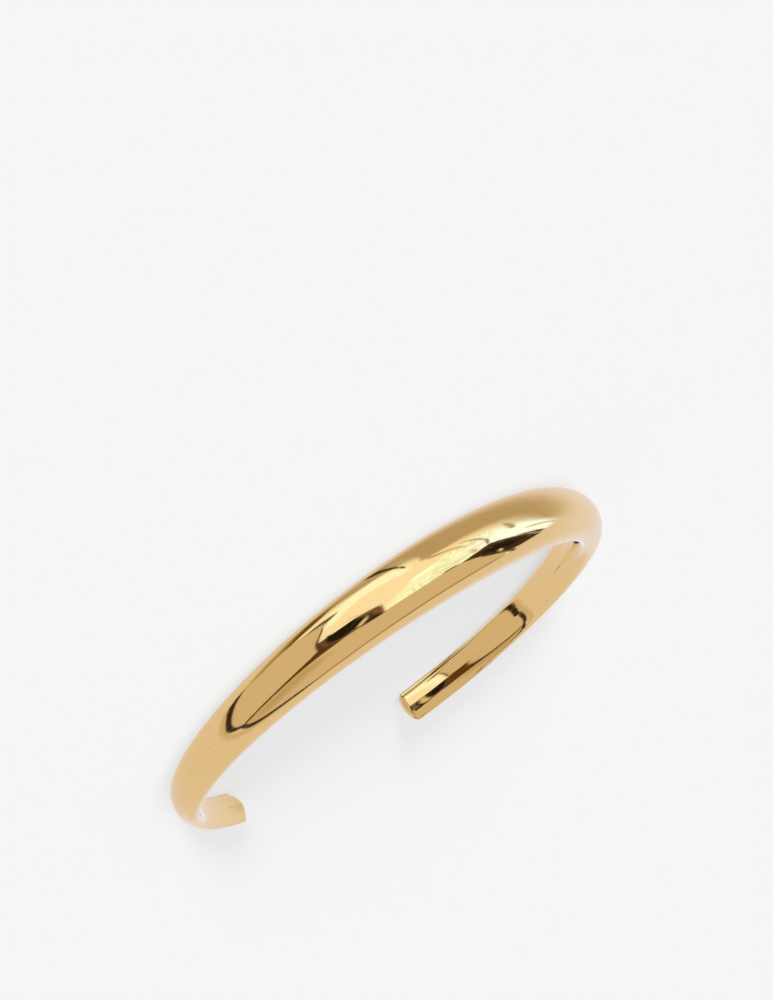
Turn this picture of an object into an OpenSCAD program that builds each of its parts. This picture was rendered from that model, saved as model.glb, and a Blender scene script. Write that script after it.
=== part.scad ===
// Open cuff bracelet: one solid band, thick and domed at the front, tapering round an oval
// to two thin ends. It lies on its side, with +Z up, its front towards -Y and its gap towards +Y.

/* [Inner oval] */
// Inside width, side to side
inner_w = 58; // [50:0.5:68]
// Inside depth of the whole oval, front to back
inner_d = 50; // [42:0.5:60]
// Gap between the two ends
gap_w = 28; // [20:0.5:34]

/* [Band] */
// Thickness of the domed front
front_t = 6.6; // [3:0.1:9]
// Thickness of the ends
end_t = 2.2; // [1.8:0.1:3]
// Width of the front, along the wrist
front_w = 7.4; // [5:0.1:12]
// Width of the ends
end_w = 4.4; // [2:0.1:5]
// How soon the thickness falls away from the front
taper_t = 1.35; // [1:0.05:2.5]
// How soon the width falls away from the front
taper_w = 1.75; // [1:0.05:2.5]

/* [Cross-section] */
// Share of the thickness, counted from the inner face, where the band is widest
widest_at = 0.46; // [0.4:0.01:0.5]
// Flatness of the inner face, 0 for a plain oval
inner_flat = 0.25; // [0:0.05:0.4]
// How far a soft ridge comes up along the inner face towards the ends, 0 for none
inner_ridge = 1; // [0:0.05:1.1]
// How sharp the ridge may get, 1 for a sharp edge
ridge_limit = 0.8; // [0.5:0.05:0.95]
// How closely the ridge keeps to the middle of the inner face
ridge_power = 4.8; // [2:0.2:6]
// How soon the ridge comes up away from the front
ridge_growth = 3; // [1:0.1:4]
// How far the ridge lies above the middle of the inner face, as a share of half the width
ridge_lift = 0.06; // [0:0.01:0.15]
// How much narrower the inner half of the band gets at the ends, 0 for none
end_narrowing = 0.42; // [0:0.02:0.5]
// Share of the way from the front to an end where that narrowing starts
narrowing_start = 0.72; // [0.5:0.01:0.9]
// How far the ends bulge, along the band
end_dome = 1.1; // [0.3:0.1:1.5]

/* [Fineness] */
// Spans along the band
spans = 84; // [48:4:112]
// Sides around the band
sides = 28; // [16:4:36]
// Steps of the domed ends
dome_steps = 5; // [3:1:8]

/* [Hidden] */
half_w = inner_w / 2;
half_d = inner_d / 2;
gold_colour = [0.83, 0.66, 0.36];
// Angle round the oval, from the front to each end
end_angle = 180 - asin((gap_w / 2 + end_dome) / half_w);
// How far the dome is turned in where its small flat middle starts
dome_turn = 80;

// Middle line of the inner face; the angle is 0 at the front and grows towards +X
function inner_point(angle) = [half_w * sin(angle), -half_d * cos(angle), 0];

// Direction straight out of the inner face
function outward(angle) =
    let (normal = [half_d * sin(angle), -half_w * cos(angle), 0])
    normal / norm(normal);

// Direction along the band, towards the end at +X
function along(angle) = [-outward(angle).y, outward(angle).x, 0];

// Share of the front's extra size that is left at an angle: 1 at the front, 0 at the ends
function fullness(angle, taper) = pow((1 + cos(180 * angle / end_angle)) / 2, taper);

function thickness(angle) = end_t + (front_t - end_t) * fullness(angle, taper_t);
function width(angle) = end_w + (front_w - end_w) * fullness(angle, taper_w);

// How much narrower the inner half is at an angle
function narrowing(angle) =
    let (share = max(0, (abs(angle) / end_angle - narrowing_start) / (1 - narrowing_start)))
    end_narrowing * share * share * (3 - 2 * share);

// How far the ridge comes up at an angle, held back before it gets too sharp
function ridge(angle) = min(
    inner_ridge * (1 - fullness(angle, ridge_growth)),
    ridge_limit + inner_flat - narrowing(angle)
);

// One outline point, as [outward, up]: the turn is 0 at the crown and 180 at the inner face
function outline_point(angle, turn) =
    let (
        inner = max(0, -cos(turn)),
        flat = inner_flat * pow(cos(turn), 2) * (1 - cos(turn)) / 2,
        ridge = ridge(angle) * pow(inner, ridge_power),
        wider = flat - ridge - narrowing(angle) * sqrt(inner),
        lift = ridge_lift * (1 - fullness(angle, ridge_growth)) * pow(inner, ridge_power)
    )
    [
        thickness(angle) * ((1 + cos(turn)) / 2 - (0.5 - widest_at) * pow(sin(turn), 2)),
        width(angle) / 2 * (sin(turn) * (1 + wider) + lift)
    ];

// One ring of points across the band, drawn in to a share of its size and moved along by shift
function ring(angle, share, shift) =
    let (
        middle = thickness(angle) / 2,
        start = inner_point(angle) + shift * along(angle)
    )
    [for (i = [0 : sides - 1])
        let (p = outline_point(angle, 360 * i / sides))
        start
            + (middle + (p.x - middle) * share) * outward(angle)
            + [0, 0, p.y * share]
    ];

// One ring of the dome at an end; side is -1 or 1
function end_ring(side, step) =
    let (turn = dome_turn * step / dome_steps)
    ring(side * end_angle, cos(turn), side * end_dome * sin(turn) / sin(dome_turn));

rings = concat(
    [for (step = [dome_steps : -1 : 1]) end_ring(-1, step)],
    [for (i = [0 : spans]) ring(end_angle * (2 * i / spans - 1), 1, 0)],
    [for (step = [1 : dome_steps]) end_ring(1, step)]
);

// Slope of the band's underside seen from its ends: it rests on the front and on both ends
low_end = end_ring(1, 0)[sides * 3 / 4];
rest_tilt = max([
    for (i = [0 : spans / 2 - 1])
        let (low = ring(end_angle * 2 * i / spans, 1, 0)[sides * 3 / 4])
        if (low.y < 0) atan((low_end.z - low.z) / (low_end.y - low.y))
]);

// A point of the resting cuff, before it is moved to the origin
function tilted(p) = [
    p.x,
    p.y * cos(rest_tilt) + p.z * sin(rest_tilt),
    p.z * cos(rest_tilt) - p.y * sin(rest_tilt)
];

tilted_points = [for (r = rings) for (p = r) tilted(p)];
low_y = min([for (p = tilted_points) p.y]);
high_y = max([for (p = tilted_points) p.y]);
low_z = min([for (p = tilted_points) p.z]);
rest_move = [0, -(low_y + high_y) / 2, -low_z];

// Two triangles for each cell between neighbouring rings
side_faces = [
    for (i = [0 : len(rings) - 2])
        for (j = [0 : sides - 1])
            let (
                a = i * sides + j,
                b = i * sides + (j + 1) % sides,
                c = b + sides,
                d = a + sides
            )
            each [[a, b, c], [a, c, d]]
];
first_face = [for (j = [sides - 1 : -1 : 0]) j];
last_face = [for (j = [0 : sides - 1]) (len(rings) - 1) * sides + j];

module cuff() {
    color(gold_colour)
        translate(rest_move)
            polyhedron(
                points = tilted_points,
                faces = concat(side_faces, [first_face, last_face]),
                convexity = 6
            );
}

cuff();
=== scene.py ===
import math
from collections import namedtuple

import bpy
import numpy as np
from mathutils import Matrix, Vector

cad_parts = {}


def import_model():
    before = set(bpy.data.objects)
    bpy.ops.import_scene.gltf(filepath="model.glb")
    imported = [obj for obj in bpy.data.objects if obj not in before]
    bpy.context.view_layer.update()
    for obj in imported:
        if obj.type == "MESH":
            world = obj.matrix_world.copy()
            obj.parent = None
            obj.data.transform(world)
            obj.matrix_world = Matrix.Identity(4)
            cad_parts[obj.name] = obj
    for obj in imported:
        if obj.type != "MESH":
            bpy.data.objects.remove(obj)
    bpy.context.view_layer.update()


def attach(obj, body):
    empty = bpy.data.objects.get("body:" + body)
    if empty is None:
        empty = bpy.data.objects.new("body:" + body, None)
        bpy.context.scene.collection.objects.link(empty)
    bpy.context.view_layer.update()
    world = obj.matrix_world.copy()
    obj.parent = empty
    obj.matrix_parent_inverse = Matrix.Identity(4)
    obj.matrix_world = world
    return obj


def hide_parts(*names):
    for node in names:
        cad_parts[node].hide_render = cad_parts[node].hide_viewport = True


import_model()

# All lengths are in metres and all angles in degrees. The cuff lies on its side: +Z is up,
# its front is towards -Y and its gap towards +Y.

# The cuff's driving sizes
INNER_W = 0.058
INNER_D = 0.050
GAP_W = 0.028
FRONT_T = 0.0066
END_T = 0.0022
FRONT_W = 0.0074
END_W = 0.0044
TAPER_T = 1.35
TAPER_W = 1.75
WIDEST_AT = 0.46
INNER_FLAT = 0.25
INNER_RIDGE = 1.0
RIDGE_LIMIT = 0.8
RIDGE_POWER = 4.8
RIDGE_GROWTH = 3.0
RIDGE_LIFT = 0.06
END_NARROWING = 0.42
NARROWING_START = 0.72
END_DOME = 0.0011
# How far the visible surface lies inside the CAD surface
SKIN = 0.000004

# Fineness of the visible mesh
SPANS = 420
SIDES = 112
DOME_STEPS = 16
# How far the last ring of a dome stays away from the tip, in steps
TIP_STEP = 0.5
# Angles at which the front's underside is tried, to find where it rests on the floor
FRONT_ANGLES = np.linspace(0, 80, 161)

MM_PER_M = 1000

HALF_W = INNER_W / 2
HALF_D = INNER_D / 2
END_ANGLE = 180 - math.degrees(math.asin((GAP_W / 2 + END_DOME) / HALF_W))


# The cuff's surface

def fullness(angle, taper):
    """Share of the front's extra size that is left at an angle: 1 at the front, 0 at the ends."""
    return ((1 + np.cos(np.radians(180 * angle / END_ANGLE))) / 2) ** taper


def axes_at(angle):
    """The inner face's middle point, the direction straight out of it and the one along the band."""
    turn = math.radians(angle)
    point = np.array([HALF_W * math.sin(turn), -HALF_D * math.cos(turn), 0.0])
    outward = np.array([HALF_D * math.sin(turn), -HALF_W * math.cos(turn), 0.0])
    outward /= np.linalg.norm(outward)
    along = np.array([-outward[1], outward[0], 0.0])
    return point, outward, along


def ring(angle, size=1.0, shift=0.0):
    """Points across the band at an angle, drawn in to a share of its size and moved by shift."""
    point, outward, along = axes_at(angle)
    thick = END_T + (FRONT_T - END_T) * fullness(angle, TAPER_T)
    wide = END_W + (FRONT_W - END_W) * fullness(angle, TAPER_W)
    turn = np.linspace(0, 2 * math.pi, SIDES, endpoint=False)
    cos, sin = np.cos(turn), np.sin(turn)
    inner = np.maximum(0, -cos)
    flat = INNER_FLAT * cos**2 * (1 - cos) / 2
    share = max(0, (abs(angle) / END_ANGLE - NARROWING_START) / (1 - NARROWING_START))
    narrowing = END_NARROWING * share**2 * (3 - 2 * share)
    growth = 1 - fullness(angle, RIDGE_GROWTH)
    ridge = min(INNER_RIDGE * growth, RIDGE_LIMIT + INNER_FLAT - narrowing)
    peak = inner**RIDGE_POWER
    out = thick * ((1 + cos) / 2 - (0.5 - WIDEST_AT) * sin**2)
    wider = flat - ridge * peak - narrowing * np.sqrt(inner)
    up = wide / 2 * (sin * (1 + wider) + RIDGE_LIFT * growth * peak)
    out = thick / 2 + (out - thick / 2) * size * (1 - SKIN / (thick / 2))
    up = up * size * (1 - SKIN / (wide / 2))
    start = point + shift * along
    return start + out[:, None] * outward + up[:, None] * np.array([0.0, 0.0, 1.0])


def end_rings(side):
    """The dome of one end, from the band outwards; side is -1 or 1."""
    rings = []
    for step in range(1, DOME_STEPS + 1):
        turn = math.pi / 2 * step / (DOME_STEPS + TIP_STEP)
        rings.append(ring(side * END_ANGLE, math.cos(turn), side * END_DOME * math.sin(turn)))
    return rings


def rest_transform(rings):
    """The turn about X and the move that put the cuff on the floor, on its front and both ends."""
    low = SIDES * 3 // 4
    end = ring(END_ANGLE)[low]
    slopes = []
    for angle in FRONT_ANGLES:
        point = ring(angle)[low]
        slopes.append(math.atan((end[2] - point[2]) / (end[1] - point[1])))
    turn = Matrix.Rotation(-max(slopes), 4, "X")
    points = np.concatenate(rings) @ np.array(turn.to_3x3()).T
    low_corner, high_corner = points.min(axis=0), points.max(axis=0)
    middle_y = (low_corner[1] + high_corner[1]) / 2
    return Matrix.Translation((0, -middle_y, SKIN - low_corner[2])) @ turn


def cuff_mesh():
    """One smooth closed mesh, its move to the floor and the band's length in millimetres."""
    band = [ring(END_ANGLE * (2 * i / SPANS - 1)) for i in range(SPANS + 1)]
    rings = end_rings(-1)[::-1] + band + end_rings(1)
    rest = rest_transform(rings)
    points = np.concatenate(rings)
    caps = [rings[0].mean(axis=0), rings[-1].mean(axis=0)]
    vertices = [tuple(p) for p in points] + [tuple(p) for p in caps]
    faces = []
    for i in range(len(rings) - 1):
        for j in range(SIDES):
            k = (j + 1) % SIDES
            faces.append((i * SIDES + j, i * SIDES + k, (i + 1) * SIDES + k, (i + 1) * SIDES + j))
    first_cap = len(points)
    last_ring = (len(rings) - 1) * SIDES
    for j in range(SIDES):
        k = (j + 1) % SIDES
        faces.append((first_cap, k, j))
        faces.append((first_cap + 1, last_ring + j, last_ring + k))
    mesh = bpy.data.meshes.new("cuff_surface")
    mesh.from_pydata(vertices, [], faces)
    length = add_band_map(mesh, rings)
    mesh.transform(rest)
    mesh.polygons.foreach_set("use_smooth", [True] * len(mesh.polygons))
    mesh.update()
    return mesh, rest, length


def add_band_map(mesh, rings):
    """Writes millimetres along and around the band as a UV map; gives the band's length in them."""
    crowns = np.array([r[0] for r in rings])
    steps = np.linalg.norm(np.diff(crowns, axis=0), axis=1)
    along = np.concatenate([[0.0], np.cumsum(steps)]) * MM_PER_M
    around = []
    for r in rings:
        sides = np.linalg.norm(np.roll(r, -1, axis=0) - r, axis=1)
        around.append(np.concatenate([[0.0], np.cumsum(sides)]) * MM_PER_M)
    layer = mesh.uv_layers.new(name="band")
    count = len(rings) * SIDES
    for face in mesh.polygons:
        corners = [mesh.loops[i].vertex_index for i in face.loop_indices]
        columns = [c % SIDES for c in corners]
        wraps = max(columns) - min(columns) > 1
        for loop, corner, column in zip(face.loop_indices, corners, columns):
            row = corner // SIDES
            if corner >= count:
                row = 0 if corner == count else len(rings) - 1
                layer.data[loop].uv = (along[row], 0.0)
                continue
            place = SIDES if wraps and column == 0 else column
            layer.data[loop].uv = (along[row], around[row][place])
    return float(along[-1])


# Small helpers for shader nodes

# Sockets of a Mix node that blends two colours
MIX_SHARE = 0
MIX_FIRST = 6
MIX_SECOND = 7
MIX_RESULT = 2

# Room that is kept below and above the points of a curve
CURVE_ROOM = 5

# Where something starts and ends along an angle, and how far each side blurs
Span = namedtuple("Span", "start start_blur end end_blur")


def grey(level):
    """A grey that covers fully, as red, green, blue and cover."""
    return (level, level, level, 1.0)


class Nodes:
    """Builds nodes in one tree; an input may be a number or another node's output."""

    def __init__(self, tree):
        self.tree = tree
        tree.nodes.clear()

    def node(self, kind, inputs=None, **settings):
        node = self.tree.nodes.new(kind)
        for name, value in settings.items():
            setattr(node, name, value)
        for name, value in (inputs or {}).items():
            socket = node.inputs[name]
            if isinstance(value, bpy.types.NodeSocket):
                self.tree.links.new(value, socket)
            else:
                socket.default_value = value
        return node

    def math(self, operation, *values):
        node = self.node("ShaderNodeMath", dict(enumerate(values)), operation=operation)
        return node.outputs[0]

    def all_of(self, *masks):
        """1 where every mask is 1."""
        result = masks[0]
        for mask in masks[1:]:
            result = self.math("MULTIPLY", result, mask)
        return result

    def above(self, value, edge, blur):
        """0 where a value is below an edge and 1 where it is above it, blended over blur."""
        inputs = {
            "Value": self.math("SUBTRACT", value, edge),
            "From Min": self.math("MULTIPLY", blur, -0.5),
            "From Max": self.math("MULTIPLY", blur, 0.5),
        }
        node = self.node("ShaderNodeMapRange", inputs, interpolation_type="SMOOTHSTEP")
        return node.outputs["Result"]

    def below(self, value, edge, blur):
        return self.above(edge, value, blur)

    def within(self, value, span):
        """1 between the two sides of a span."""
        return self.all_of(
            self.above(value, span.start, span.start_blur),
            self.below(value, span.end, span.end_blur),
        )

    def curve(self, value, points):
        """A smooth curve through (value, result) points."""
        first, last = points[0][0], points[-1][0]
        low = min(p[1] for p in points) - CURVE_ROOM
        high = max(p[1] for p in points) + CURVE_ROOM
        share = self.math("DIVIDE", self.math("SUBTRACT", value, first), last - first)
        share.node.use_clamp = True
        node = self.node("ShaderNodeFloatCurve", {"Value": share})
        marks = node.mapping.curves[0].points
        while len(marks) < len(points):
            marks.new(0.5, 0.5)
        for mark, (x, y) in zip(marks, points):
            mark.location = ((x - first) / (last - first), (y - low) / (high - low))
            mark.handle_type = "AUTO_CLAMPED"
        node.mapping.update()
        return self.math("MULTIPLY_ADD", node.outputs["Value"], high - low, low)

    def mix(self, share, first, second):
        """Blends two colours; share 0 gives the first."""
        node = self.node("ShaderNodeMix", data_type="RGBA")
        for place, value in ((MIX_SHARE, share), (MIX_FIRST, first), (MIX_SECOND, second)):
            if isinstance(value, bpy.types.NodeSocket):
                self.tree.links.new(value, node.inputs[place])
            else:
                node.inputs[place].default_value = (*value, 1.0)
        return node.outputs[MIX_RESULT]

    def drawn_noise(self, place, lean, sizes, detail):
        """Noise from 0 to 1, turned by a lean in degrees and drawn out to two sizes."""
        leaning = self.node("ShaderNodeVectorRotate", {
            "Vector": place,
            "Angle": math.radians(lean),
        }, rotation_type="Z_AXIS").outputs[0]
        drawn = self.node("ShaderNodeVectorMath", {
            0: leaning,
            1: (1 / sizes[0], 1 / sizes[1], 1.0),
        }, operation="MULTIPLY").outputs[0]
        inputs = {"Vector": drawn, "Scale": 1.0, "Detail": detail}
        return self.node("ShaderNodeTexNoise", inputs, noise_dimensions="2D").outputs[0]


# Gold: the UV map gives each place as millimetres along the band, from the end at -X, and around
# it, from the crown over the edge that lies higher

# Colour of polished gold, of a scratch in it, and of the softer gold at the worn ends
GOLD = (0.92, 0.70, 0.34)
SCRATCHED_GOLD = (0.80, 0.52, 0.20)
WORN_GOLD = (0.90, 0.69, 0.36)

# Roughness of the best polish, of the dullest polish and of scratches and worn edges
FINE_POLISH = 0.035
DULL_POLISH = 0.085
SCRATCHED = 0.20

# Marks in the polish, drawn by noise: length and width in millimetres, lean across the band in
# degrees, and the noise's detail
Marks = namedtuple("Marks", "name length width lean detail")
POLISH_LINES = Marks("polishing lines", 7.0, 0.22, 3.0, 2.0)
POLISH_WAVES = Marks("waves left by polishing", 8.0, 3.2, -6.0, 0.0)
HAIRLINES = (
    Marks("long hairlines", 4.5, 0.55, 4.0, 0.0),
    Marks("short hairlines", 1.6, 0.40, 14.0, 0.0),
)

# Depth of the marks, in metres
LINE_DEPTH = 0.0000016
WAVE_DEPTH = 0.0000060
HAIRLINE_DEPTH = 0.0000006

# Levels of the polishing lines' noise that give the finest and the dullest polish
FINE_LEVEL = 0.35
DULL_LEVEL = 0.70

# How close to the middle of its noise a place must be to lie in a hairline
HAIRLINE_SHARE = 0.006

# Patches where hairlines show: how much longer, wider and more leaning than a hairline they are,
# their detail, and the level of noise where they start, with its blur
SCUFF_LENGTH = 1.3
SCUFF_WIDTH = 3.1
SCUFF_LEAN = 40
SCUFF_DETAIL = 1.0
SCUFF_LEVEL = 0.60
SCUFF_BLUR = 0.12

# Length of the worn part at each end, in millimetres; the level of the polishing lines' noise
# where wear shows, with its blur; and its roughness as a share of a scratch's
WORN_END = 1.6
WORN_LEVEL = 0.5
WORN_BLUR = 0.5
WORN_ROUGHNESS = 0.5


class Gold(Nodes):
    """Polished gold with lines, waves, hairline scratches and worn ends."""

    def __init__(self, tree, length):
        super().__init__(tree)
        self.place = self.node("ShaderNodeUVMap", uv_map="band").outputs[0]
        self.length = length

    def noise(self, marks):
        """Noise drawn out along the band to the length and width of the marks."""
        return self.drawn_noise(self.place, marks.lean, (marks.length, marks.width), marks.detail)

    def bump(self, height, depth, normal=None):
        inputs = {"Height": height, "Strength": 1.0, "Distance": depth}
        if normal is not None:
            inputs["Normal"] = normal
        return self.node("ShaderNodeBump", inputs).outputs[0]

    def hairlines(self, marks):
        """1 in thin lines where the noise crosses its middle, here and there along the band."""
        off = self.math("ABSOLUTE", self.math("SUBTRACT", self.noise(marks), 0.5))
        line = self.math("SUBTRACT", 1.0, self.above(off, HAIRLINE_SHARE, HAIRLINE_SHARE))
        scuff = Marks(
            "patch with hairlines",
            marks.length * SCUFF_LENGTH,
            marks.width * SCUFF_WIDTH,
            marks.lean + SCUFF_LEAN,
            SCUFF_DETAIL,
        )
        return self.math("MULTIPLY", line, self.above(self.noise(scuff), SCUFF_LEVEL, SCUFF_BLUR))

    def worn_share(self):
        """1 at the very ends, 0 on the rest of the band."""
        along = self.node("ShaderNodeSeparateXYZ", {"Vector": self.place}).outputs[0]
        nearest = self.math("MINIMUM", along, self.math("SUBTRACT", self.length, along))
        return self.math("SUBTRACT", 1.0, self.above(nearest, WORN_END, WORN_END))


def gold_material(length):
    mat = bpy.data.materials.new("polished_gold")
    mat.use_nodes = True
    n = Gold(mat.node_tree, length)
    lines = n.noise(POLISH_LINES)
    waves = n.noise(POLISH_WAVES)
    scratches = n.math("MAXIMUM", n.hairlines(HAIRLINES[0]), n.hairlines(HAIRLINES[1]))
    worn = n.math("MULTIPLY", n.worn_share(), n.above(lines, WORN_LEVEL, WORN_BLUR))
    polish = n.node("ShaderNodeMapRange", {
        "Value": lines,
        "From Min": FINE_LEVEL,
        "From Max": DULL_LEVEL,
        "To Min": FINE_POLISH,
        "To Max": DULL_POLISH,
    }).outputs["Result"]
    marked = n.math("MAXIMUM", scratches, n.math("MULTIPLY", worn, WORN_ROUGHNESS))
    roughness = n.math("ADD", polish, n.math("MULTIPLY", marked, SCRATCHED - FINE_POLISH))
    colour = n.mix(worn, n.mix(scratches, GOLD, SCRATCHED_GOLD), WORN_GOLD)
    normal = n.bump(waves, WAVE_DEPTH)
    normal = n.bump(lines, LINE_DEPTH, normal)
    normal = n.bump(n.math("SUBTRACT", 1.0, scratches), HAIRLINE_DEPTH, normal)
    shader = n.node("ShaderNodeBsdfPrincipled", {
        "Base Color": colour,
        "Metallic": 1.0,
        "Roughness": roughness,
        "Normal": normal,
    })
    out = n.node("ShaderNodeOutputMaterial")
    mat.node_tree.links.new(shader.outputs[0], out.inputs["Surface"])
    return mat


# Studio: a pale ceiling with a window, two wall panels, a table, a dark stand and a dark board, seen
# only in the gold. A direction is given by two angles about the cuff: its rise is 90 towards the
# cuff's front and -90 towards its gap, and its bearing turns about that line, from +X over +Z, up
# to 360.

# Light of each surface, as linear red, green and blue
CEILING = (1.07, 1.03, 0.97)
COOL_CEILING = (1.09, 1.46, 1.60)
WINDOW = (1.14, 1.43, 2.12)
WALL = (0.70, 0.59, 0.48)
TABLE = (0.80, 0.72, 0.68)
SHADE = (0.525, 0.425, 0.32)

# Bearings between which the ceiling is cooler
COOL_SPAN = Span(72, 45, 196, 40)

# Bearings between which the window lies, and its upper edge
WINDOW_SPAN = Span(140, 14, 180, 30)
WINDOW_TOP = 60
WINDOW_BLUR = 14

# Upper edge of the wall panels, as bearing and rise, how far it blurs, and their sides
WALL_TOP = (
    (-76, 8), (-71, 16), (-67, 24), (-60, 28.5), (-50, 34.5), (-40, 38), (-30, 40.5), (-15, 42.3),
    (0, 42.8), (12, 42), (25, 41), (35, 42.5), (45, 45), (60, 48), (80, 50), (100, 50.5),
    (115, 49.5), (125, 46), (134, 45),
)
WALL_BLUR = 1.0
WALL_SPAN = Span(-72, 1.5, 131, 1.5)

# Upper edge of the part of the ceiling that lies in shade, how far it blurs, and its sides
SHADE_TOP = (
    (156, 2), (162, 16), (168, 27), (174, 34), (180, 39), (190, 42.5), (205, 46), (220, 51), (234, 56),
    (246, 57), (258, 53),
)
SHADE_BLUR = ((156, 12), (172, 26), (180, 32), (205, 30), (222, 22), (236, 12), (258, 8))
SHADE_SPAN = Span(160, 14, 254, 3)

# Upper edge of the table, and how far it blurs
TABLE_TOP = (
    (0, -12.5), (30, -10.5), (60, -12.5), (85, -13.5), (100, -8), (115, -3.5), (130, -3), (136, 2),
    (150, 4), (158, 5), (170, 6), (180, 6), (195, 3), (210, -2), (225, -8), (240, -13), (254, -16),
    (262, -6), (276, -4), (288, -9), (300, -16), (318, -15), (332, -13.2), (345, -12.6), (360, -12.5),
)
TABLE_BLUR = (
    (0, 1.5), (130, 1.5), (136, 3), (152, 6), (162, 24), (180, 44), (225, 40), (244, 28), (254, 14),
    (264, 24), (280, 24), (290, 12), (300, 1.5), (360, 1.5),
)

# Patches: low and high edges as bearing and rise, and the bearings where they start and end
Patch = namedtuple("Patch", "name low high start end blur colour")
PATCHES = (
    Patch("glow above the panel",
          ((-104, 18), (-84, 14), (-76, 20), (-66, 28), (-56, 33), (-44, 38)),
          ((-104, 60), (-90, 58), (-82, 46), (-74, 38), (-66, 39), (-56, 41), (-44, 44)),
          -98, -47, 8, (1.12, 1.29, 1.38)),
    Patch("pale side of the table",
          ((130, -85), (300, -85)),
          ((130, -6), (150, -1), (200, -1), (230, -12), (250, -22), (270, -22), (300, -26)),
          148, 206, 30, (0.85, 0.82, 0.90)),
    Patch("haze beside the stand",
          ((28, 38), (38, 41), (45, 43.5), (55, 46.5), (64, 48)),
          ((28, 52), (40, 52), (47, 51), (55, 50), (64, 49.5)),
          29, 62, 3.5, (0.22, 0.135, 0.06)),
    Patch("stand's foot",
          ((-16, 43), (0, 43), (12, 42), (24, 39), (40, 41)),
          ((-16, 46), (0, 48.5), (12, 48), (24, 47), (40, 47)),
          -13, 38, 2.0, (0.14, 0.085, 0.06)),
    Patch("stand",
          ((-18, 47.2), (-5, 47), (5, 46.7), (15, 46.2), (25, 45.5), (35, 45.5), (47, 48)),
          ((-18, 47.5), (-10, 50), (-6, 54), (-3, 59), (1, 62), (8, 63.5), (16, 63.5), (26, 63),
           (34, 62), (39, 59), (43, 54), (47, 48)),
          -18, 46, 2.5, (0.015, 0.013, 0.010)),
    Patch("gap beside the stand",
          ((38, 60), (41, 56), (45, 51.5), (50, 50), (57, 49)),
          ((38, 60.5), (44, 60.5), (48, 58.5), (52, 55.5), (55, 52), (57, 49.5)),
          39, 56, 2.0, (0.72, 0.65, 0.41)),
    Patch("stand's arch",
          ((-4, 61), (10, 62.5), (26, 62.5), (40, 61), (47, 59), (52, 55.5), (55, 51), (57, 46),
           (76, 46)),
          ((-4, 62), (5, 64), (12, 66), (20, 68), (30, 69), (40, 68.3), (50, 66), (56, 63), (62, 59.5),
           (68, 54.5), (72, 50), (76, 45)),
          2, 75, 3.0, (0.20, 0.105, 0.070)),
    Patch("arch's dark foot",
          ((-10, 61), (30, 61.5), (46, 58), (52, 54), (56, 48), (74, 46)),
          ((-10, 62), (30, 63.5), (46, 61.5), (54, 57), (62, 54), (68, 52), (74, 48)),
          10, 72, 4.0, (0.050, 0.024, 0.010)),
    Patch("dark board",
          ((123, 44.5), (126, 38), (129, 24), (131, 8), (133, 1), (150, 3)),
          ((123, 45.5), (130, 45.5), (145, 45), (147, 38), (148, 25), (150, 8)),
          124, 145.5, 2.0, (0.065, 0.039, 0.018)),
    Patch("middle of the board",
          ((126, 22), (130, 16), (146, 12)),
          ((126, 36), (134, 38), (146, 30)),
          130, 141, 9.0, (0.016, 0.014, 0.012)),
)

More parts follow.
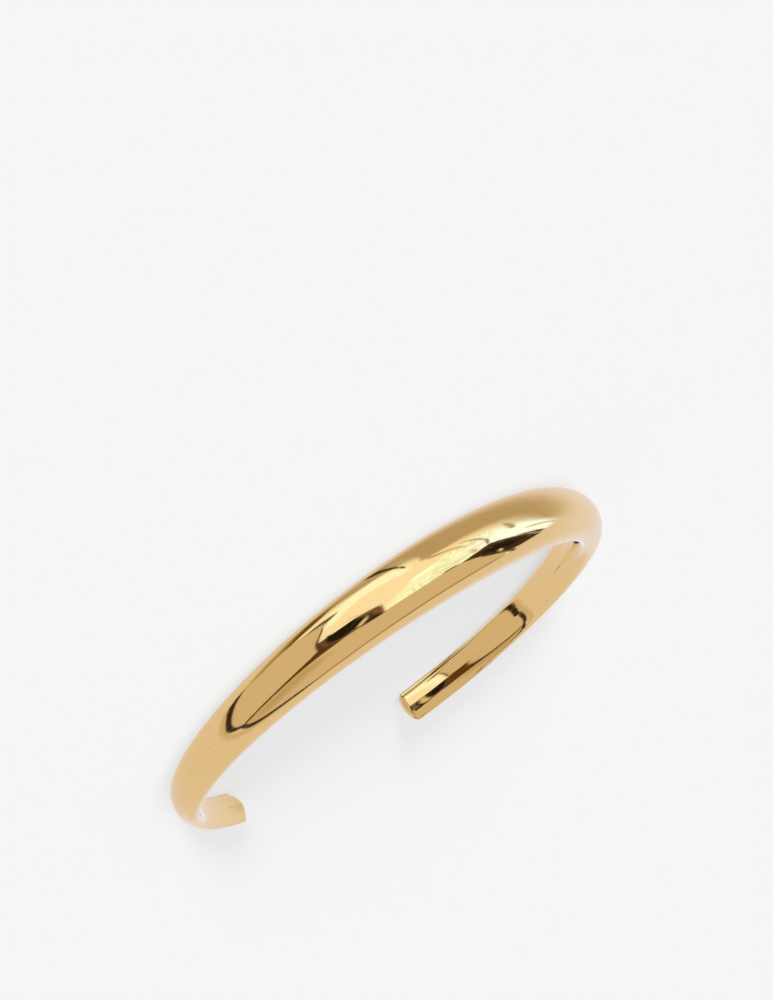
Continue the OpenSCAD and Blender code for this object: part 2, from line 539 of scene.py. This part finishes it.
# Strokes: points along the line, which runs with the bearing or the rise. Each point holds the
# place along the run, the other angle and half the stroke's width.
Stroke = namedtuple("Stroke", "name runs points fade blur colour")
STROKES = (
    Stroke("dim side of the ceiling", "rise",
           ((-24, -99, 9), (-8, -98, 10), (5, -99, 9), (18, -103, 6), (32, -107, 3), (48, -110, 2)),
           12, 14, (0.49, 0.41, 0.31)),
    Stroke("shade beside the gap", "rise",
           ((-14, 41, 12), (10, 41, 12), (36, 41, 12)),
           12, 20, (0.56, 0.44, 0.31)),
    Stroke("gap between the panels", "rise",
           ((-10, 25.8, 2.2), (0, 25.4, 2.4), (12, 25, 2.8), (24, 25, 4.0), (33, 26, 7.0),
            (39, 27.5, 12.0), (44, 29, 17)),
           2, 2.2, (0.11, 0.055, 0.008)),
    Stroke("rim of the panel", "bearing",
           ((-63, 27, 0.6), (-50, 34.4, 0.65), (-40, 38, 0.7), (-30, 40.2, 0.8), (-15, 42.1, 1.0),
            (0, 42.8, 1.2), (12, 42, 1.3), (22, 41, 1.3)),
           4, 0.7, (0.085, 0.05, 0.028)),
    # Painted shade: a soft darker band on the table just under its edge
    Stroke("shade under the table's edge", "bearing",
           ((-62, -18, 1.0), (-45, -19, 2.4), (-25, -18, 2.6), (0, -18, 2.2), (45, -18, 2.2),
            (90, -18, 2.5)),
           8, 5.0, (0.66, 0.54, 0.40)),
    Stroke("edge of the table", "bearing",
           ((-66, -15.5, 0.8), (-54, -15.8, 2.8), (-42, -14.8, 3.0), (-30, -13.4, 2.6), (-14, -13.2, 2.6),
            (0, -13.8, 2.5), (10, -13.4, 2.1), (20, -12, 1.8), (27, -10.8, 1.7), (35, -11.8, 1.8),
            (45, -12.8, 2.2), (60, -13.4, 2.6), (75, -13.4, 2.7), (85, -14, 2.6), (93, -12, 2.2)),
           8, 1.5, (0.040, 0.022, 0.016)),
    Stroke("blurred edge of the table", "bearing",
           ((80, -14, 2.5), (90, -12, 3.6), (100, -8, 4.0), (108, -5, 3.8), (118, -3, 3.0),
            (126, -3, 2.3), (134, -4, 2)),
           8, 4.0, (0.41, 0.29, 0.155)),
    Stroke("glow above the board", "rise",
           ((45, 135, 1.4), (50, 139, 2.4), (55, 144, 1.8), (60, 150, 0.6)),
           4, 4.0, (0.80, 0.55, 0.32)),
    Stroke("dark end of the panel's top", "bearing",
           ((110, 49.5, 0.4), (115, 49.5, 1.8), (118, 48.5, 2.0), (124, 46.5, 1.0)),
           4, 2.0, (0.27, 0.18, 0.10)),
    Stroke("side of the board", "rise",
           ((-8, 134, 0.5), (0, 132.8, 0.9), (10, 131.2, 1.2), (22, 129.5, 1.5), (32, 128, 1.5)),
           4, 1.0, (0.05, 0.035, 0.02)),
    Stroke("second board", "rise",
           ((3, 147.5, 1.8), (10, 147.5, 1.6), (18, 146.5, 1.0), (26, 146, 0.3)),
           2, 1.5, (0.12, 0.08, 0.03)),
    Stroke("light beside the board", "rise",
           ((12, 131.3, 0.3), (17, 132, 0.8), (23, 133.5, 0.3)),
           3, 0.8, (0.83, 0.73, 0.64)),
    Stroke("line in the window", "bearing",
           ((144, 45.3, 0.5), (150, 48, 1.1), (155, 50.3, 1.2), (160, 51.8, 0.8), (170, 55.8, 1.0),
            (180, 58, 1.0), (190, 59.2, 0.9), (205, 60, 0.7), (216, 60, 0.4)),
           3, 1.5, (0.42, 0.31, 0.17)),
    Stroke("mark in the window", "bearing",
           ((162, 37, 0.6), (167, 38.8, 1.8), (172, 40.3, 2.1), (180, 41.8, 1.6), (192, 43, 0.5)),
           4, 2.5, (0.50, 0.39, 0.22)),
    Stroke("upright in the window", "rise",
           ((3, 157.6, 0.7), (14, 157.3, 1.0), (20, 156.5, 1.3), (28, 155.5, 0.6)),
           3, 1.5, (0.64, 0.575, 0.36)),
    Stroke("far rim", "bearing",
           ((170, 64, 0.4), (190, 66, 1.0), (210, 66, 1.2), (225, 65, 1.9), (234, 64, 2.2),
            (240, 62.5, 2.4), (245, 60.5, 2.8), (248, 57, 3.4), (251, 52, 3.4), (254, 48, 2.6),
            (258, 45, 0.8)),
           14, 4.0, (0.57, 0.45, 0.27)),
    Stroke("side of the table", "rise",
           ((-18, 249.3, 0.4), (-12, 251, 1.1), (-6, 253.2, 1.5), (0, 255, 1.3), (10, 257.5, 1.0),
            (18, 259, 0.9), (30, 260.5, 0.75), (40, 261.5, 0.8), (47, 262.4, 0.3)),
           4, 0.9, (0.045, 0.027, 0.010)),
    Stroke("foot of the panel", "rise",
           ((10, -70, 1.5), (16, -71, 3.0), (22, -71, 3.4), (26, -68, 4.5), (29, -65, 3)),
           4, 3.5, (0.134, 0.12, 0.05)),
    # Painted shade: a soft darker spread around the shade beside the panel
    Stroke("spread of the shade beside the panel", "bearing",
           ((-102, -13, 3), (-90, -8, 7), (-78, -7, 7), (-66, -9, 4), (-58, -10, 1)),
           8, 9, (0.42, 0.33, 0.20)),
    Stroke("shade beside the panel", "bearing",
           ((-98, -10, 1.5), (-92, -8, 4.5), (-86, -4, 6.5), (-81, -2, 5), (-75, -1.5, 3.5),
            (-70, 1, 1.2)),
           4, 6.5, (0.15, 0.095, 0.03)),
)

# Folds in the ceiling's cloth: soft darker lines in noise drawn out over bearing and rise, within a
# span of bearings
Fold = namedtuple("Fold", "name bearing_size rise_size lean bearings strength")
FOLDS = (
    Fold("long folds", 26, 2.6, 5, Span(84, 16, 200, 30), 0.55),
    Fold("upright folds", 3.4, 14, -12, Span(78, 16, 150, 30), 0.45),
)
FOLD_COLOUR = (0.80, 0.66, 0.48)

# Rises between which folds show, the level of noise where they start, with its blur, and its detail
FOLD_RISES = Span(51, 3, 80, 12)
FOLD_LEVEL = 0.56
FOLD_BLUR = 0.16
FOLD_DETAIL = 1.5

# How much more light is seen over two and more reflections in the gold
AGAIN_LIFT = (1.05, 1.32, 2.10)

# A light path's depth is a whole number, so these lie below one and below two reflections
BELOW_ONE = 0.5
BELOW_TWO = 1.5

# Brightness of the plain background and of the floor, as linear light, and the floor's whiteness
BACKDROP = 0.922
FLOOR_WHITENESS = 0.8

# Lamps that light the floor, each with its share of the floor's light; the fill casts no shadow. The
# azimuth is 0 from the front and grows towards +X.
Lamp = namedtuple("Lamp", "name azimuth elevation spread share shadow")
LAMPS = (
    Lamp("fill", 0, 60, 60, 0.72, False),
    Lamp("main_lamp", 22, 26, 50, 0.08, True),
    Lamp("low_lamp", 27, 5.6, 8, 0.125, True),
)


class Studio(Nodes):
    """Paints the studio's surfaces one over another, in directions seen from the cuff."""

    def __init__(self, tree, tilt):
        super().__init__(tree)
        where = self.node("ShaderNodeTexCoord").outputs["Generated"]
        turn = {"Vector": where, "Angle": -tilt}
        level = self.node("ShaderNodeVectorRotate", turn, rotation_type="X_AXIS").outputs[0]
        x, y, z = self.node("ShaderNodeSeparateXYZ", {"Vector": level}).outputs
        self.rise = self.math("DEGREES", self.math("ARCSINE", self.math("MULTIPLY", y, -1.0)))
        self.signed = self.math("DEGREES", self.math("ARCTAN2", z, x))
        self.turned = self.math("FLOORED_MODULO", self.signed, 360.0)
        self.colour = None

    def bearing(self, values):
        """The bearing from 0 to 360, or from -180 to 180 where values lie below 0."""
        return self.signed if min(values) < 0 else self.turned

    def paint(self, mask, colour):
        self.colour = self.mix(mask, self.colour, colour)

    def paint_patch(self, p):
        run = self.bearing([point[0] for point in p.low])
        mask = self.all_of(
            self.above(self.rise, self.curve(run, p.low), p.blur),
            self.below(self.rise, self.curve(run, p.high), p.blur),
            self.within(run, Span(p.start, p.blur, p.end, p.blur)),
        )
        self.paint(mask, p.colour)

    def paint_fold(self, f):
        place = self.node("ShaderNodeCombineXYZ", {"X": self.turned, "Y": self.rise}).outputs[0]
        noise = self.drawn_noise(place, f.lean, (f.bearing_size, f.rise_size), FOLD_DETAIL)
        mask = self.all_of(
            self.above(noise, FOLD_LEVEL, FOLD_BLUR),
            self.within(self.turned, f.bearings),
            self.within(self.rise, FOLD_RISES),
        )
        self.paint(self.math("MULTIPLY", mask, f.strength), FOLD_COLOUR)

    def paint_stroke(self, s):
        if s.runs == "bearing":
            run = self.bearing([point[0] for point in s.points])
            across = self.rise
        else:
            run = self.rise
            across = self.bearing([point[1] for point in s.points])
        middle = self.curve(run, [(point[0], point[1]) for point in s.points])
        half = self.curve(run, [(point[0], point[2]) for point in s.points])
        off = self.math("ABSOLUTE", self.math("SUBTRACT", across, middle))
        first, last = s.points[0][0], s.points[-1][0]
        ends = Span(first + s.fade / 2, s.fade, last - s.fade / 2, s.fade)
        mask = self.all_of(self.below(off, half, s.blur), self.within(run, ends))
        self.paint(mask, s.colour)

    def paint_all(self):
        """The ceiling first, then what stands before it, each over what was painted earlier."""
        self.colour = self.mix(self.within(self.turned, COOL_SPAN), CEILING, COOL_CEILING)
        below_top = self.below(self.rise, WINDOW_TOP, WINDOW_BLUR)
        self.paint(self.all_of(self.within(self.turned, WINDOW_SPAN), below_top), WINDOW)
        for f in FOLDS:
            self.paint_fold(f)
        below_top = self.below(self.rise, self.curve(self.signed, WALL_TOP), WALL_BLUR)
        self.paint(self.all_of(self.within(self.signed, WALL_SPAN), below_top), WALL)
        blur = self.curve(self.turned, SHADE_BLUR)
        below_top = self.below(self.rise, self.curve(self.turned, SHADE_TOP), blur)
        self.paint(self.all_of(self.within(self.turned, SHADE_SPAN), below_top), SHADE)
        blur = self.curve(self.turned, TABLE_BLUR)
        self.paint(self.below(self.rise, self.curve(self.turned, TABLE_TOP), blur), TABLE)
        for p in PATCHES:
            self.paint_patch(p)
        for s in STROKES:
            self.paint_stroke(s)


def world(rest):
    """The studio for the gold, plain light for the floor and a plain background for the camera."""
    studio = bpy.data.worlds.new("studio")
    bpy.context.scene.world = studio
    studio.use_nodes = True
    n = Studio(studio.node_tree, rest.to_euler().x)
    n.paint_all()
    ray = n.node("ShaderNodeLightPath").outputs
    after_floor = n.math("GREATER_THAN", ray["Diffuse Depth"], BELOW_ONE)
    sky_share = 1 - sum(lamp.share for lamp in LAMPS)
    sky = grey(sky_share * BACKDROP / FLOOR_WHITENESS)
    floor_light = n.node("ShaderNodeBackground", {"Color": sky}).outputs[0]
    again = n.math("GREATER_THAN", ray["Glossy Depth"], BELOW_TWO)
    lift = n.mix(again, (1.0, 1.0, 1.0), AGAIN_LIFT)
    lifted = n.node("ShaderNodeVectorMath", {0: n.colour, 1: lift}, operation="MULTIPLY").outputs[0]
    gold_light = n.node("ShaderNodeBackground", {"Color": lifted}).outputs[0]
    plain = n.node("ShaderNodeBackground", {"Color": grey(BACKDROP)}).outputs[0]
    in_gold = n.math("MULTIPLY", ray["Is Glossy Ray"], n.math("SUBTRACT", 1.0, after_floor))
    light = n.node("ShaderNodeMixShader", {0: in_gold, 1: floor_light, 2: gold_light})
    shown = n.node("ShaderNodeMixShader", {0: ray["Is Camera Ray"], 1: light.outputs[0], 2: plain})
    out = n.node("ShaderNodeOutputWorld")
    studio.node_tree.links.new(shown.outputs[0], out.inputs["Surface"])


# Camera: its direction to the cuff, its turn about its own axis and where the oval's middle shows
CAMERA_AZIMUTH = 38.89
CAMERA_ELEVATION = 16.17
CAMERA_ROLL = 141.45
CAMERA_DISTANCE = 0.24464
FOCAL_PIXELS = 2000
MIDDLE_PIXEL = (387.07, 670.14)
PICTURE = (773, 1000)
SENSOR_MM = 36.0
NEAREST_SEEN = 0.01
FARTHEST_SEEN = 100

# Half of the floor's side
FLOOR_REACH = 30.0


def direction(azimuth, elevation):
    """Towards a place seen from the cuff: azimuth 0 lies in front of it and grows towards +X."""
    turn, climb = math.radians(azimuth), math.radians(elevation)
    return Vector((
        math.sin(turn) * math.cos(climb),
        -math.cos(turn) * math.cos(climb),
        math.sin(climb),
    ))


def add_object(name, data):
    obj = bpy.data.objects.new(name, data)
    bpy.context.collection.objects.link(obj)
    return obj


def camera(rest):
    back = direction(CAMERA_AZIMUTH, CAMERA_ELEVATION)
    level = direction(CAMERA_AZIMUTH + 90, 0)
    right = Matrix.Rotation(math.radians(CAMERA_ROLL), 3, back) @ level
    up = back.cross(right)
    aside = (MIDDLE_PIXEL[0] - PICTURE[0] / 2) / FOCAL_PIXELS * CAMERA_DISTANCE
    above = (PICTURE[1] / 2 - MIDDLE_PIXEL[1]) / FOCAL_PIXELS * CAMERA_DISTANCE
    place = back * CAMERA_DISTANCE - right * aside - up * above
    data = bpy.data.cameras.new("camera")
    data.sensor_width = SENSOR_MM
    data.lens = FOCAL_PIXELS / max(PICTURE) * SENSOR_MM
    data.clip_start = NEAREST_SEEN
    data.clip_end = FARTHEST_SEEN
    obj = add_object("camera", data)
    turn = Matrix((right, up, back)).transposed().to_4x4()
    obj.matrix_world = rest @ Matrix.Translation(place) @ turn
    bpy.context.scene.camera = obj


def floor():
    mesh = bpy.data.meshes.new("floor")
    corners = [(x * FLOOR_REACH, y * FLOOR_REACH, 0) for x, y in ((-1, -1), (1, -1), (1, 1), (-1, 1))]
    mesh.from_pydata(corners, [], [(0, 1, 2, 3)])
    mat = bpy.data.materials.new("pale_floor")
    mat.use_nodes = True
    n = Nodes(mat.node_tree)
    shader = n.node("ShaderNodeBsdfDiffuse", {"Color": grey(FLOOR_WHITENESS)})
    out = n.node("ShaderNodeOutputMaterial")
    mat.node_tree.links.new(shader.outputs[0], out.inputs["Surface"])
    mesh.materials.append(mat)
    obj = add_object("floor", mesh)
    obj.visible_glossy = False


def lamps():
    """Wide soft suns, unseen in the gold, each with its share of the floor's light."""
    for lamp in LAMPS:
        source = direction(lamp.azimuth, lamp.elevation)
        data = bpy.data.lights.new(lamp.name, "SUN")
        data.energy = lamp.share * BACKDROP / FLOOR_WHITENESS * math.pi / source.z
        data.angle = math.radians(lamp.spread)
        data.use_shadow = lamp.shadow
        data.cycles.cast_shadow = lamp.shadow
        obj = add_object(lamp.name, data)
        obj.rotation_euler = source.to_track_quat("Z", "Y").to_euler()
        obj.visible_glossy = False


cuff_surface, rest, band_length = cuff_mesh()
cuff = add_object("cuff_band", cuff_surface)
cuff.data.materials.append(gold_material(band_length))
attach(cuff, "root")
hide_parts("cuff")
world(rest)
camera(rest)
floor()
lamps()
bpy.context.scene.view_settings.view_transform = "Standard"
